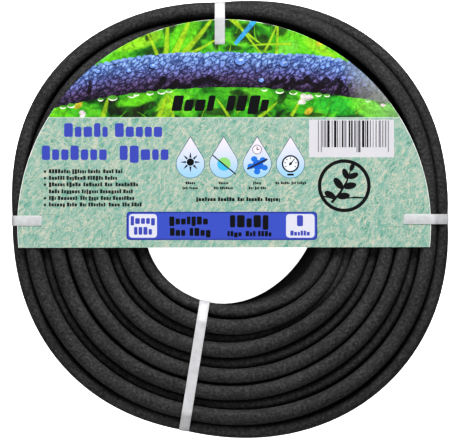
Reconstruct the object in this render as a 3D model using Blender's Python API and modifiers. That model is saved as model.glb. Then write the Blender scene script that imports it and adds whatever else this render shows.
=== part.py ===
"""Soaker hose: 100 m of porous rubber hose wound into a flat strapped coil with a label card.

Metres, +Z up. The coil lies flat: its underside is on z = 0 and its axis is the Z axis.
"""
import math

import bmesh
import bpy
from mathutils import Matrix, Vector

# Hose
HOSE_DIAMETER = 0.016
HOSE_BORE = 0.0125
HOSE_RADIUS = HOSE_DIAMETER / 2

# Winding: layers wound on each other, each a column of turns one pitch apart
TURNS_PER_LAYER = 10
PITCH = 0.0184                       # height from one turn to the next in a layer
INNER_TURN = 0.0969                  # radius of the innermost layer, at its centreline
SECOND_TURN = 0.1121                 # radius of the layer around it
NINTH_TURN = 0.2044                  # radius of the layer inside the outermost one
OUTER_TURN = 0.2165                  # radius of the outermost layer
LOW_TOP = HOSE_RADIUS + (TURNS_PER_LAYER - 1) * PITCH    # top turn of a layer that starts on the floor
HIGH_TOP = LOW_TOP + PITCH / 2                           # top turn of a layer half a pitch higher
COIL_HEIGHT = HIGH_TOP + HOSE_RADIUS
COIL_INNER = INNER_TURN - HOSE_RADIUS
COIL_OUTER = OUTER_TURN + HOSE_RADIUS
COIL_STEPS = 72

# The coil swells between its straps: (first strap, next strap, outer swell, inner swell)
SWELLS = (
    (-0.2, 92.6, 0.0116, -0.0010),
    (92.6, 180.6, 0.0124, -0.0010),
    (180.6, 257.9, 0.0053, -0.0010),
    (257.9, 359.8, 0.0102, -0.0040),
)

# Card: a disc cut straight below its middle, off the coil's centre
CARD_RADIUS = 0.2136
CARD_CENTRE = (-0.0054, -0.0078)
CARD_EDGE_Y = -0.0300
CARD_THICKNESS = 0.0005
CARD_ARC_STEPS = 72

# Straps: flat bands welded into closed loops through the coil's hole
STRAP_WIDTH = 0.0105
STRAP_THICKNESS = 0.0008
STRAP_FLOOR_GAP = 0.0002
STRAP_INNER_SLACK = 0.0019
STRAP_OUTER_SLACK = 0.0012
SLOT_LENGTH = 0.0060
SLOT_SIDE_GAP = 0.0005

GAP = 0.0003                         # between touching pieces
REST_GAP = 0.0005                    # between the coil's top and the straps

# The stack of strap, card and strap on top of the coil, as heights of the middles
UNDER_CARD = COIL_HEIGHT + REST_GAP + STRAP_THICKNESS / 2
CARD_MIDDLE = UNDER_CARD + STRAP_THICKNESS / 2 + GAP + CARD_THICKNESS / 2
OVER_CARD = CARD_MIDDLE + CARD_THICKNESS / 2 + GAP + STRAP_THICKNESS / 2

# Each strap: (name, direction in degrees, sideways offset, slot's inner end or None, shoulder)
STRAPS = (
    ("strap_right", 0.0, -0.0007, 0.1798, 0.2105),
    ("strap_top", 90.0, 0.0099, 0.1791, 0.2105),
    ("strap_left", 180.0, 0.0023, 0.1934, None),
    ("strap_bottom", 260.85, -0.0115, None, 0.2080),
)

# Hose ends: both are held by the top strap at floor level
END_HEIGHT = 0.0094
OUTER_END = (83.0, 100.5)            # from, to (degrees), the cut end last
INNER_END = (118.0, 80.0)
END_POCKET_WIDTH = HOSE_DIAMETER + 0.0012
OUTER_POCKET = (82.0, 110.0)
INNER_POCKET = (64.0, 119.0)
END_STEPS = 14


def clear_scene():
    for item in list(bpy.data.objects):
        bpy.data.objects.remove(item, do_unlink=True)


def make_collection(name):
    collection = bpy.data.collections.new(name)
    bpy.context.scene.collection.children.link(collection)
    return collection


def make_material(name, colour, roughness):
    material = bpy.data.materials.new(name)
    material.use_nodes = True
    shader = material.node_tree.nodes["Principled BSDF"]
    shader.inputs["Base Color"].default_value = (*colour, 1.0)
    shader.inputs["Roughness"].default_value = roughness
    shader.inputs["Metallic"].default_value = 0.0
    return material


def add_object(name, data, collection, material=None):
    item = bpy.data.objects.new(name, data)
    collection.objects.link(item)
    if material:
        data.materials.append(material)
    return item


def swell(angle, column):
    """How far the coil's wall stands out at an angle: column 2 is the outer wall, 3 the inner."""
    degrees = math.degrees(angle)
    for entry in SWELLS:
        share = ((degrees - entry[0]) % 360.0) / (entry[1] - entry[0])
        if share <= 1.0:
            return entry[column] * math.sin(math.pi * share) ** 2
    return 0.0


def rounded_path(corners, steps):
    """A closed path through (x, y, fillet radius) corners, with each corner turned into an arc."""
    path = []
    count = len(corners)
    for index, (x, y, fillet) in enumerate(corners):
        corner = Vector((x, y))
        back = (Vector(corners[index - 1][:2]) - corner).normalized()
        ahead = (Vector(corners[(index + 1) % count][:2]) - corner).normalized()
        half = back.angle(ahead) / 2
        centre = corner + (back + ahead).normalized() * fillet / math.sin(half)
        start = corner + back * fillet / math.tan(half) - centre
        turn = math.pi - 2 * half
        side = 1.0 if back.cross(ahead) < 0 else -1.0
        for step in range(steps + 1):
            spin = Matrix.Rotation(side * turn * step / steps, 2)
            path.append(centre + spin @ start)
    return path


def mesh_of_curve(item, collection):
    """Turns a curve object into a welded mesh object of the same name and place."""
    graph = bpy.context.evaluated_depsgraph_get()
    mesh = bpy.data.meshes.new_from_object(item.evaluated_get(graph))
    shape = bmesh.new()
    shape.from_mesh(mesh)
    bmesh.ops.remove_doubles(shape, verts=shape.verts, dist=0.00001)
    bmesh.ops.recalc_face_normals(shape, faces=shape.faces)
    shape.to_mesh(mesh)
    shape.free()
    name = item.name
    place = item.matrix_world.copy()
    bpy.data.objects.remove(item, do_unlink=True)
    result = bpy.data.objects.new(name, mesh)
    result.matrix_world = place
    collection.objects.link(result)
    return result


def flat_outline(name, loops, middle, thickness, collection):
    """A flat solid from closed loops of (x, y) points; loops inside the first are holes."""
    curve = bpy.data.curves.new(name, "CURVE")
    curve.dimensions = "2D"
    curve.fill_mode = "BOTH"
    curve.extrude = thickness / 2
    for loop in loops:
        spline = curve.splines.new("POLY")
        spline.points.add(len(loop) - 1)
        for point, (x, y) in zip(spline.points, loop):
            point.co = (x, y, 0.0, 1.0)
        spline.use_cyclic_u = True
    item = add_object(name, curve, collection)
    item.location.z = middle
    bpy.context.view_layer.update()
    return mesh_of_curve(item, collection)


def tube(name, points, radius, collection):
    """A round tube along points, with filled ends, as a mesh."""
    curve = bpy.data.curves.new(name, "CURVE")
    curve.dimensions = "3D"
    curve.bevel_depth = radius
    curve.bevel_resolution = 4
    curve.use_fill_caps = True
    spline = curve.splines.new("POLY")
    spline.points.add(len(points) - 1)
    for point, place in zip(spline.points, points):
        point.co = (*place, 1.0)
    item = add_object(name, curve, collection)
    bpy.context.view_layer.update()
    return mesh_of_curve(item, collection)


def hide_cutter(item):
    item.hide_render = True
    item.display_type = "WIRE"


def cut(item, cutter):
    modifier = item.modifiers.new(f"Cut {cutter.name}", "BOOLEAN")
    modifier.operation = "DIFFERENCE"
    modifier.solver = "EXACT"
    modifier.object = cutter
    hide_cutter(cutter)


def shade_smooth(item):
    item.data.shade_smooth()
    item.data.set_sharp_from_angle(angle=math.radians(35.0))


def arc_points(radius, column, span, height, steps):
    """Points along the coil's wall, swelling with it."""
    points = []
    for step in range(steps + 1):
        angle = math.radians(span[0] + (span[1] - span[0]) * step / steps)
        reach = radius + swell(angle, column)
        points.append((reach * math.cos(angle), reach * math.sin(angle), height))
    return points


def coil_profile():
    """The section of the winding, running down its outer side and round to the top."""
    rim = HOSE_RADIUS
    outer_drop = math.atan2(HIGH_TOP - LOW_TOP, OUTER_TURN - NINTH_TURN)
    inner_drop = math.atan2(HIGH_TOP - LOW_TOP, SECOND_TURN - INNER_TURN)
    return (
        (NINTH_TURN + rim * math.tan(outer_drop / 2), COIL_HEIGHT, rim),
        (COIL_OUTER, LOW_TOP + rim * math.tan((math.pi / 2 - outer_drop) / 2), rim),
        (COIL_OUTER, 0.0, rim),
        (COIL_INNER, 0.0, rim),
        (COIL_INNER, LOW_TOP + rim * math.tan((math.pi / 2 - inner_drop) / 2), rim),
        (SECOND_TURN - rim * math.tan(inner_drop / 2), COIL_HEIGHT, rim),
    )


def make_coil(collection, material):
    """The winding as one turned ring, swollen between the straps."""
    profile = rounded_path(coil_profile(), 4)
    mesh = bpy.data.meshes.new("hose_coil")
    edges = [(index, (index + 1) % len(profile)) for index in range(len(profile))]
    mesh.from_pydata([(point.x, 0.0, point.y) for point in profile], edges, [])
    turned = add_object("turned_coil", mesh, collection)
    screw = turned.modifiers.new("Turn", "SCREW")
    screw.steps = COIL_STEPS
    screw.render_steps = COIL_STEPS
    screw.use_merge_vertices = True
    screw.merge_threshold = 0.00005
    bpy.context.view_layer.update()
    graph = bpy.context.evaluated_depsgraph_get()
    ring = bpy.data.meshes.new_from_object(turned.evaluated_get(graph))
    bpy.data.objects.remove(turned, do_unlink=True)
    width = COIL_OUTER - COIL_INNER
    for vertex in ring.vertices:
        radius = math.hypot(vertex.co.x, vertex.co.y)
        angle = math.atan2(vertex.co.y, vertex.co.x)
        outward = (radius - COIL_INNER) / width
        reach = radius + outward ** 3 * swell(angle, 2) + (1.0 - outward) ** 3 * swell(angle, 3)
        vertex.co.x = reach * math.cos(angle)
        vertex.co.y = reach * math.sin(angle)
    coil = add_object("hose_coil", ring, collection, material)
    shade_smooth(coil)
    return coil


def make_end(name, radius, column, span, collection, cutters, material):
    """A short stretch of hose with its real bore, open at the cut end."""
    end = tube(name, arc_points(radius, column, span, END_HEIGHT, END_STEPS), HOSE_RADIUS, collection)
    end.data.materials.append(material)
    overshoot = math.copysign(2.0, span[1] - span[0])
    longer = (span[0] - overshoot, span[1] + overshoot)
    route = arc_points(radius, column, longer, END_HEIGHT, END_STEPS)
    cut(end, tube(f"{name}_bore", route, HOSE_BORE / 2, cutters))
    shade_smooth(end)
    return end


def end_pocket(name, radius, column, span, cutters):
    """The space at floor level that a hose end lies in, with room beyond the cut end."""
    half = END_POCKET_WIDTH / 2
    floor_side = arc_points(radius - half, column, span, 0.0, END_STEPS)
    open_side = arc_points(radius + half, column, span, 0.0, END_STEPS)
    if column == 2:
        open_side = [(x * 1.1, y * 1.1, z) for x, y, z in open_side]
    else:
        floor_side = [(x * 0.8, y * 0.8, z) for x, y, z in floor_side]
    loop = [point[:2] for point in floor_side + open_side[::-1]]
    height = END_HEIGHT + half
    pocket = flat_outline(name, [loop], 0.0, 2 * height, cutters)
    hide_cutter(pocket)
    return pocket


def strap_corners(slot, shoulder):
    """A strap's path in its own upright plane: distance outward, height, fillet."""
    low = STRAP_FLOOR_GAP + STRAP_THICKNESS / 2
    inner = COIL_INNER - STRAP_INNER_SLACK
    outer = COIL_OUTER + STRAP_OUTER_SLACK
    knee = LOW_TOP + HOSE_RADIUS / 2 + STRAP_INNER_SLACK
    rim = HOSE_RADIUS
    inner_top = SECOND_TURN - STRAP_INNER_SLACK - HOSE_RADIUS / 4
    top = OVER_CARD if slot else UNDER_CARD
    corners = [(inner, low, rim), (inner, knee, rim), (inner_top, UNDER_CARD, rim)]
    if slot:
        corners.append((slot, UNDER_CARD, rim))
        corners.append((slot + SLOT_LENGTH, OVER_CARD, rim))
    if shoulder:
        corners.append((shoulder, top, rim))
        corners.append((outer, knee, rim))
    else:
        corners.append((outer, top, rim / 3))
    corners.append((outer, low, rim))
    return corners


def strap_band(name, direction, offset, path, width, thickness, collection):
    """A closed flat band along a path in an upright plane."""
    angle = math.radians(direction)
    ahead = Vector((math.cos(angle), math.sin(angle), 0.0))
    side = Vector((-math.sin(angle), math.cos(angle), 0.0))
    shape = bmesh.new()
    rails = []
    for shift in (offset - width / 2, offset + width / 2):
        rails.append([
            shape.verts.new(ahead * point.x + side * shift + Vector((0.0, 0.0, point.y)))
            for point in path
        ])
    for index in range(len(path)):
        following = (index + 1) % len(path)
        shape.faces.new((
            rails[0][index], rails[0][following], rails[1][following], rails[1][index],
        ))
    bmesh.ops.recalc_face_normals(shape, faces=shape.faces)
    mesh = bpy.data.meshes.new(name)
    shape.to_mesh(mesh)
    shape.free()
    band = add_object(name, mesh, collection)
    solidify = band.modifiers.new("Thickness", "SOLIDIFY")
    solidify.thickness = thickness
    solidify.offset = 0.0
    solidify.use_even_offset = True
    return band


def make_straps(collection, cutters, material, coil):
    """The four straps, and the grooves that they press into the coil."""
    for name, direction, offset, slot, shoulder in STRAPS:
        path = rounded_path(strap_corners(slot, shoulder), 5)
        strap = strap_band(name, direction, offset, path, STRAP_WIDTH, STRAP_THICKNESS, collection)
        strap.data.materials.append(material)
        groove = strap_band(
            f"{name}_groove", direction, offset, path,
            STRAP_WIDTH + 2 * GAP, STRAP_THICKNESS + 2 * GAP, cutters,
        )
        cut(coil, groove)


def slot_loop(direction, offset, start):
    """The rectangular slot where a strap passes through the card."""
    angle = math.radians(direction)
    ahead = Vector((math.cos(angle), math.sin(angle)))
    side = Vector((-math.sin(angle), math.cos(angle)))
    half = STRAP_WIDTH / 2 + SLOT_SIDE_GAP
    corners = ((start, -half), (start + SLOT_LENGTH, -half), (start + SLOT_LENGTH, half), (start, half))
    return [tuple(ahead * reach + side * (offset + across)) for reach, across in corners]


def make_card(collection, material):
    """The printed card: an arc over a straight lower edge, with three strap slots."""
    drop = math.asin((CARD_EDGE_Y - CARD_CENTRE[1]) / CARD_RADIUS)
    sweep = math.pi - 2 * drop
    outline = []
    for step in range(CARD_ARC_STEPS + 1):
        angle = drop + sweep * step / CARD_ARC_STEPS
        outline.append((
            CARD_CENTRE[0] + CARD_RADIUS * math.cos(angle),
            CARD_CENTRE[1] + CARD_RADIUS * math.sin(angle),
        ))
    slots = [slot_loop(strap[1], strap[2], strap[3]) for strap in STRAPS if strap[3]]
    card = flat_outline("label_card", [outline] + slots, CARD_MIDDLE, CARD_THICKNESS, collection)
    card.data.materials.append(material)
    return card


def build():
    clear_scene()
    parts = make_collection("soaker_hose")
    cutters = make_collection("cutters")
    rubber = make_material("porous_rubber", (0.022, 0.022, 0.023), 0.85)
    card_stock = make_material("printed_card", (0.36, 0.62, 0.50), 0.45)
    strap_plastic = make_material("strap_plastic", (0.62, 0.60, 0.66), 0.40)

    coil = make_coil(parts, rubber)
    cut(coil, end_pocket("outer_pocket", OUTER_TURN, 2, OUTER_POCKET, cutters))
    cut(coil, end_pocket("inner_pocket", INNER_TURN, 3, INNER_POCKET, cutters))
    make_end("hose_outer_end", OUTER_TURN, 2, OUTER_END, parts, cutters, rubber)
    make_end("hose_inner_end", INNER_TURN, 3, INNER_END, parts, cutters, rubber)
    make_straps(parts, cutters, strap_plastic, coil)
    make_card(parts, card_stock)


build()
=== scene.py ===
"""The looks of the soaker hose: a strapped coil of porous rubber hose under a printed card.

Everything is in metres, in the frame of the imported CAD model, with +Z up out of the coil.
"""
import math
import random

import bmesh
import bpy
import numpy as np
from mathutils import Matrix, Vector
from mathutils.geometry import delaunay_2d_cdt


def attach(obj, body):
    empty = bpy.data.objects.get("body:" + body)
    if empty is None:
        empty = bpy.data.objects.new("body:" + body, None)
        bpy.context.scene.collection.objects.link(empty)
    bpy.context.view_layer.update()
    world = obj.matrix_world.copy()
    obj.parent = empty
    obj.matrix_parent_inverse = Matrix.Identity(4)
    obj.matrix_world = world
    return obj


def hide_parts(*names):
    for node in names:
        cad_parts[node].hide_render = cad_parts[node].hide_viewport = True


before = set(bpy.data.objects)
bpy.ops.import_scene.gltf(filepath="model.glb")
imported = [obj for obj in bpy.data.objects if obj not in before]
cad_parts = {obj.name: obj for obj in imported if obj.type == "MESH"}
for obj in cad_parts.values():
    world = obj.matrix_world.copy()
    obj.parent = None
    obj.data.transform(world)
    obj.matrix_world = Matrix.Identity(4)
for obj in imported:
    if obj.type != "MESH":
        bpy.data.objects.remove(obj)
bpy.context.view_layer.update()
MM = 0.001

# ---------------------------------------------------------------- sizes

HOSE_DIAMETER = 0.016
HOSE_BORE = 0.0125
HOSE_RADIUS = HOSE_DIAMETER / 2
TURNS_PER_LAYER = 10
PITCH = 0.0184
LOW = HOSE_RADIUS                    # height of the first turn in a layer that starts on the floor
HIGH = HOSE_RADIUS + PITCH / 2       # and in a layer that sits half a pitch higher
COIL_TOP = HIGH + (TURNS_PER_LAYER - 1) * PITCH + HOSE_RADIUS

# Layers from the inside out: radius (mm), height of the first turn, and how far the layer swells
# between the straps (mm): upper right, upper left, lower left, lower right
LAYERS = (
    (96.9, LOW, (0.0, 0.0, 1.5, 3.2)),
    (112.1, HIGH, (0.0, 0.0, 0.2, 2.5)),
    (124.2, LOW, (0.0, 0.0, 1.3, 0.2)),
    (136.6, HIGH, (0.0, 0.0, 2.7, -1.3)),
    (150.0, LOW, (0.3, 0.3, 1.5, 0.0)),
    (163.2, HIGH, (0.6, 0.6, 1.3, 1.3)),
    (179.8, HIGH, (2.0, 2.0, 2.7, 1.8)),
    (192.1, LOW, (5.0, 4.0, 3.2, 3.9)),
    (204.4, HIGH, (9.4, 7.9, 3.4, 6.9)),
    (216.5, LOW, (12.2, 13.4, 5.8, 11.2)),
)
STRAP_ANGLES = (-0.2, 92.6, 180.6, 257.9, 359.8)
SWELL_SKEW = 1.08
SWELL_POWER = 1.4

# The right strap pulls the top rows outward: how far in each layer (mm), and from how far round it
RIGHT_LEAN = (5.5, 5.5, 5.0, 4.2, 3.4, 3.0, 2.5, 2.0, 2.2, 2.2)
LEAN_ROWS = 4
LEAN_REACH = 72.0
LEAN_FADE = 50.0
RIM_TURN_SWELL = 3.0                 # the top turn beside the rim stands out at the upper right (mm)
INNER_TOP_RISE = 6.0                 # the hole's top turn rides up at the right strap (mm)
INNER_TUCK = -2.2                    # each row under it lies further in at the lower right (mm)
INNER_TUCK_ROWS = 4
INNER_FLARE = 0.20                   # and a little further out all round
WANDER_ACROSS = 0.28                 # how far the turns wander from their rows (mm)
WANDER_UP = 0.22

# Where a layer's first turn changes to the next one, how long the change takes, and how much later
# each following turn of the layer changes, in degrees round the coil
TURN_START = 200.0
INNER_CHANGE = (340.0, 75.0, 0.0)    # the innermost layer climbs before it passes its cut end
SECOND_CHANGE = (292.0, 110.0, 14.2)  # the second sinks where the innermost steps out over it
MIDDLE_CHANGE = (390.0, 90.0, 6.5)
OUTER_CHANGE = (370.0, 100.0, 11.7)

# From this layer on, a layer's last turn steps out before it changes height: start and width of each
EARLY_STEP_LAYER = 6
EARLY_STEP_OUT = (405.0, 58.0)
EARLY_STEP_UP = (420.0, 70.0)

HOSE_START = 80.0                    # the inner cut end
HOSE_STOP = 460.5                    # the outer cut end
FIRST_STRETCH_TURNS = 60             # the two stretches meet here, each under 60 m
JOIN_GAP = 0.0006                    # between their faces

RING_SIDES = 18
RING_SPACING = 0.0099
BORE_DEPTH_RINGS = 5                 # how deep the bore goes in at a cut end
SEED = 20


# ---------------------------------------------------------------- the hose's route

def smooth_step(value):
    value = np.clip(value, 0.0, 1.0)
    return value * value * (3.0 - 2.0 * value)


def turn_table():
    """Each turn of the winding in order: layer, row. Even layers climb and odd ones descend."""
    turns = []
    for layer in range(len(LAYERS)):
        rows = range(TURNS_PER_LAYER) if layer % 2 == 0 else range(TURNS_PER_LAYER - 1, -1, -1)
        turns.extend((layer, row) for row in rows)
    return turns


def change_window(layer, place):
    """Where a turn changes to the next: (radial start, width, height start, width), in degrees."""
    if layer >= EARLY_STEP_LAYER and place == TURNS_PER_LAYER - 1:
        return EARLY_STEP_OUT + EARLY_STEP_UP
    special = {0: INNER_CHANGE, 1: SECOND_CHANGE, len(LAYERS) - 1: OUTER_CHANGE}
    start, width, later = special.get(layer, MIDDLE_CHANGE)
    return (start + later * place, width) * 2


def swell_at(degrees, amounts):
    """How far a turn stands out from its circle: nothing at a strap, most between two straps."""
    result = np.zeros_like(degrees)
    for index, amount in enumerate(amounts):
        first, last = STRAP_ANGLES[index], STRAP_ANGLES[index + 1]
        share = ((degrees - first) % 360.0) / (last - first)
        inside = share <= 1.0
        result[inside] = amount * np.sin(math.pi * share[inside] ** SWELL_SKEW) ** SWELL_POWER
    return result


def lean_at(degrees, amount):
    """How far the right strap pulls a turn outward."""
    turned = (degrees + 180.0) % 360.0 - 180.0
    before, after = (LEAN_REACH + turned) / LEAN_FADE, (LEAN_REACH - turned) / LEAN_FADE
    return amount * smooth_step(before) * smooth_step(after)


def row_extra(layer, row):
    """What sets a row apart in its layer: swells, flare, lean and rise (mm)."""
    depth = TURNS_PER_LAYER - 1 - row
    lean = RIGHT_LEAN[layer] * max(1.0 - depth / LEAN_ROWS, 0.0)
    if layer > 0:
        crowd = RIM_TURN_SWELL if depth == 0 and layer == len(LAYERS) - 2 else 0.0
        return (crowd, 0.0, 0.0, 0.0), 0.0, lean, 0.0
    rise = INNER_TOP_RISE if depth == 0 else 0.0
    return (0.0, 0.0, 0.0, INNER_TUCK * min(depth, INNER_TUCK_ROWS)), INNER_FLARE * depth, lean, rise


def turn_line(layer, row, degrees):
    """A turn's radius (mm) and height (m) round the coil, leaving out its change to the next."""
    base, first_height, swells = LAYERS[layer]
    extra, flare, lean, rise = row_extra(layer, row)
    swell = swell_at(degrees % 360.0, [usual + more for usual, more in zip(swells, extra)])
    radius = base + flare + swell + lean_at(degrees, lean)
    height = first_height + row * PITCH + lean_at(degrees, rise) * MM
    return radius, height


def route_points():
    """The whole hose's centreline, a point each degree, and where its second stretch starts."""
    turns = turn_table()
    wander = random.Random(SEED)
    points = []
    split = 0
    for index, (layer, row) in enumerate(turns):
        following = turns[min(index + 1, len(turns) - 1)]
        begin = HOSE_START if index == 0 else TURN_START
        end = HOSE_STOP if index == len(turns) - 1 else TURN_START + 360.0
        degrees = np.linspace(begin, end, int(end - begin), endpoint=False)
        out_start, out_width, up_start, up_width = change_window(layer, index % TURNS_PER_LAYER)
        outward = smooth_step((degrees - out_start) / out_width)
        upward = smooth_step((degrees - up_start) / up_width)
        radius_here, height_here = turn_line(layer, row, degrees)
        radius_there, height_there = turn_line(*following, degrees)
        radius = radius_here * (1.0 - outward) + radius_there * outward
        height = height_here * (1.0 - upward) + height_there * upward
        angle = np.radians(degrees)
        phase = [wander.uniform(0.0, 2.0 * math.pi) for _ in range(4)]
        fade = np.sin(math.pi * (degrees - begin) / (end - begin)) ** 2
        radius += WANDER_ACROSS * fade * (
            np.sin(3.0 * angle + phase[0]) + 0.6 * np.sin(7.0 * angle + phase[1])
        )
        height += WANDER_UP * MM * fade * (
            np.sin(2.0 * angle + phase[2]) + 0.6 * np.sin(5.0 * angle + phase[3])
        )
        if index == FIRST_STRETCH_TURNS:
            split = len(points)
        points.extend(np.stack([
            radius * MM * np.cos(angle), radius * MM * np.sin(angle), np.maximum(height, HOSE_RADIUS),
        ], axis=1))
    return np.array(points), split


def walk(line):
    """How far along a line each of its points lies."""
    return np.concatenate([[0.0], np.cumsum(np.linalg.norm(np.diff(line, axis=0), axis=1))])


def points_at(line, places):
    """The points at these distances along a line."""
    along = walk(line)
    return np.stack([np.interp(places, along, column) for column in line.T], axis=1)


def unit(vectors):
    """The same vectors with a length of one."""
    return vectors / np.linalg.norm(vectors, axis=1)[:, None]


def resample(line, spacing):
    """The same line with its points evenly spaced."""
    length = walk(line)[-1]
    return points_at(line, np.linspace(0.0, length, int(round(length / spacing)) + 1))


def route_frames(line):
    """Unit vectors across the line at each point: one level, one roughly upright."""
    tangent = unit(np.gradient(line, axis=0))
    level = unit(np.cross(tangent, np.array([0.0, 0.0, 1.0])))
    return level, np.cross(level, tangent)


def ring_points(line, radius):
    """Rings of points round the line: an array of ring, side, xyz."""
    level, upright = route_frames(line)
    angle = np.linspace(0.0, 2.0 * math.pi, RING_SIDES, endpoint=False)
    across = level[:, None, :] * np.cos(angle)[None, :, None]
    across = across + upright[:, None, :] * np.sin(angle)[None, :, None]
    return line[:, None, :] + radius * across


# ---------------------------------------------------------------- straps as taut loops

STRAP_WIDTH = 0.0105
STRAP_THICKNESS = 0.0008
STRAP_BITE = 0.0003                  # how far a strap presses into the rubber
DENT_REACH = 0.003                   # the dent fades out this far beside the strap
DENT_FADE = 0.0026
DENT_ROOM = 0.00004
STRAP_STEP = 0.0011
STRAP_SECTION = (                    # the tape's outline, in shares of its width and thickness
    (-0.50, -0.25), (-0.46, -0.50), (0.46, -0.50), (0.50, -0.25),
    (0.50, 0.25), (0.46, 0.50), (-0.46, 0.50), (-0.50, 0.25),
)
WELD_BOTTOM = 0.078
WELD_LENGTH = 0.032
WELD_CLIMB = 8                       # points over which the tape climbs onto its own start
WELD_LIFT = 1.1                      # in tape thicknesses

CARD_THICKNESS = 0.00045
CARD_CENTRE = (-0.0054, -0.0078)
CARD_RADIUS = 0.2136
CARD_EDGE_Y = -0.0300
CARD_CLEARANCE = 0.00005
SLOT_RUN = 0.0025                    # length over which a strap climbs through its slot
SLOT_NEAR = 0.0007                   # the slit lies this far outward of where the climb starts
SLOT_FAR = 0.0019
SLOT_SIDE_ROOM = 0.0007
FLOOR_CLEARANCE = 0.0002

UNDER_TOP = COIL_TOP - STRAP_BITE + STRAP_THICKNESS
CARD_BOTTOM = UNDER_TOP + CARD_CLEARANCE
CARD_TOP = CARD_BOTTOM + CARD_THICKNESS

# Each strap: name, direction (degrees), sideways offset, where its slot begins (or None)
STRAPS = (
    ("strap_right", 0.0, -0.0007, 0.1798),
    ("strap_top", 90.0, 0.0099, 0.1791),
    ("strap_left", 180.0, 0.0023, 0.1934),
    ("strap_bottom", 260.85, -0.0115, None),
)


def strap_axes(direction):
    angle = math.radians(direction)
    ahead = np.array([math.cos(angle), math.sin(angle), 0.0])
    side = np.array([-math.sin(angle), math.cos(angle), 0.0])
    return ahead, side


def crossings(line, direction, offset):
    """Where the hose's centreline crosses a strap's upright plane: (distance outward, height)."""
    ahead, side = strap_axes(direction)
    across = line @ side - offset
    outward = line @ ahead
    hits = np.nonzero((across[:-1] * across[1:] <= 0.0) & (outward[:-1] > 0.0))[0]
    share = across[hits] / (across[hits] - across[hits + 1])
    found = line[hits] + (line[hits + 1] - line[hits]) * share[:, None]
    return np.stack([found @ ahead, found[:, 2]], axis=1)


def convex_hull(flat_points):
    """Corners of the convex hull, anticlockwise."""
    ordered = sorted(map(tuple, flat_points))
    halves = []
    for run in (ordered, ordered[::-1]):
        half = []
        for point in run:
            while len(half) >= 2:
                first = np.subtract(half[-1], half[-2])
                second = np.subtract(point, half[-2])
                if first[0] * second[1] - first[1] * second[0] > 0.0:
                    break
                half.pop()
            half.append(point)
        halves.extend(half[:-1])
    return np.array(halves)


def taut_loop(hull, offset, corner_steps=6):
    """The line round a hull at a distance, with an arc at each corner, anticlockwise."""
    loop = []
    count = len(hull)
    for index in range(count):
        before = hull[index] - hull[index - 1]
        after = hull[(index + 1) % count] - hull[index]
        start = math.atan2(-before[0], before[1])
        turn = (math.atan2(-after[0], after[1]) - start) % (2.0 * math.pi)
        for step in range(corner_steps + 1):
            angle = start + turn * step / corner_steps
            loop.append(hull[index] + offset * np.array([math.cos(angle), math.sin(angle)]))
    return np.array(loop)


def card_reach(direction, offset):
    """How far out along a strap's line the card's arc lies."""
    ahead, side = strap_axes(direction)
    centre = np.array([CARD_CENTRE[0], CARD_CENTRE[1], 0.0])
    sideways = offset - centre @ side
    return centre @ ahead + math.sqrt(CARD_RADIUS ** 2 - sideways ** 2)


def from_low_corner(loop):
    """The same closed loop, starting at its outer bottom corner."""
    return np.roll(loop, -int(np.argmax(loop[:, 0] - loop[:, 1])), axis=0)


def strap_loop(centres, strap):
    """A strap's closed middle line, anticlockwise from its outer bottom corner: outward, height."""
    _, direction, offset, slot = strap
    reach = HOSE_RADIUS - STRAP_BITE + STRAP_THICKNESS / 2
    loop = from_low_corner(taut_loop(convex_hull(centres), reach))
    if slot:
        over = CARD_TOP + STRAP_THICKNESS / 2
        rim = min(card_reach(direction, offset), centres[:, 0].max())
        lifted = np.vstack([centres, [rim, over - reach]])
        outer_part = from_low_corner(taut_loop(convex_hull(lifted), reach))
        rise = np.array([[slot + SLOT_RUN, over], [slot, UNDER_TOP - STRAP_THICKNESS / 2]])
        first_in = int(np.argmax(outer_part[:, 0] < slot + SLOT_RUN))
        first_under = int(np.argmax(loop[:, 0] < slot))
        loop = np.vstack([outer_part[:first_in], rise, loop[first_under:]])
    loop[:, 1] = np.maximum(loop[:, 1], FLOOR_CLEARANCE + STRAP_THICKNESS / 2)
    return loop


def even_loop(loop, spacing):
    """A closed line with its points evenly spaced."""
    closed = np.vstack([loop, loop[:1]])
    length = walk(closed)[-1]
    return points_at(closed, np.linspace(0.0, length, int(length / spacing), endpoint=False))


def outward_normals(line):
    """Unit normals on the right of an anticlockwise line, from its neighbours."""
    tangent = unit(np.gradient(line, axis=0))
    return np.stack([tangent[:, 1], -tangent[:, 0]], axis=1)


def welded_line(loop):
    """The strap's line from one cut end to the other, whose last stretch lies on the first."""
    line = even_loop(loop, STRAP_STEP)
    outside = np.nonzero((line[:, 0] > line[:, 0].mean()) & (line[:, 1] > WELD_BOTTOM))[0]
    line = np.roll(line, -int(outside[np.argmin(line[outside, 1])]), axis=0)
    overlap = int(WELD_LENGTH / STRAP_STEP)
    line = np.vstack([line, line[:overlap]])
    climbed = (np.arange(len(line)) - (len(line) - overlap - WELD_CLIMB)) / WELD_CLIMB
    lift = smooth_step(climbed) * STRAP_THICKNESS * WELD_LIFT
    return line + outward_normals(line) * lift[:, None]


# ---------------------------------------------------------------- meshes

def make_mesh(name, verts, faces, smooth=True):
    mesh = bpy.data.meshes.new(name)
    mesh.from_pydata([tuple(map(float, vert)) for vert in verts], [], faces)
    mesh.update()
    if smooth:
        mesh.shade_smooth()
    item = bpy.data.objects.new(name, mesh)
    bpy.context.scene.collection.objects.link(item)
    return item


def ring_faces(first, second, sides):
    """Quads between two rings of vertices."""
    return [
        (first + side, first + (side + 1) % sides, second + (side + 1) % sides, second + side)
        for side in range(sides)
    ]


def tube_faces(rings, sides):
    """Quads along a run of rings."""
    return [
        face for ring in range(rings - 1) for face in ring_faces(ring * sides, (ring + 1) * sides, sides)
    ]


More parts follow.
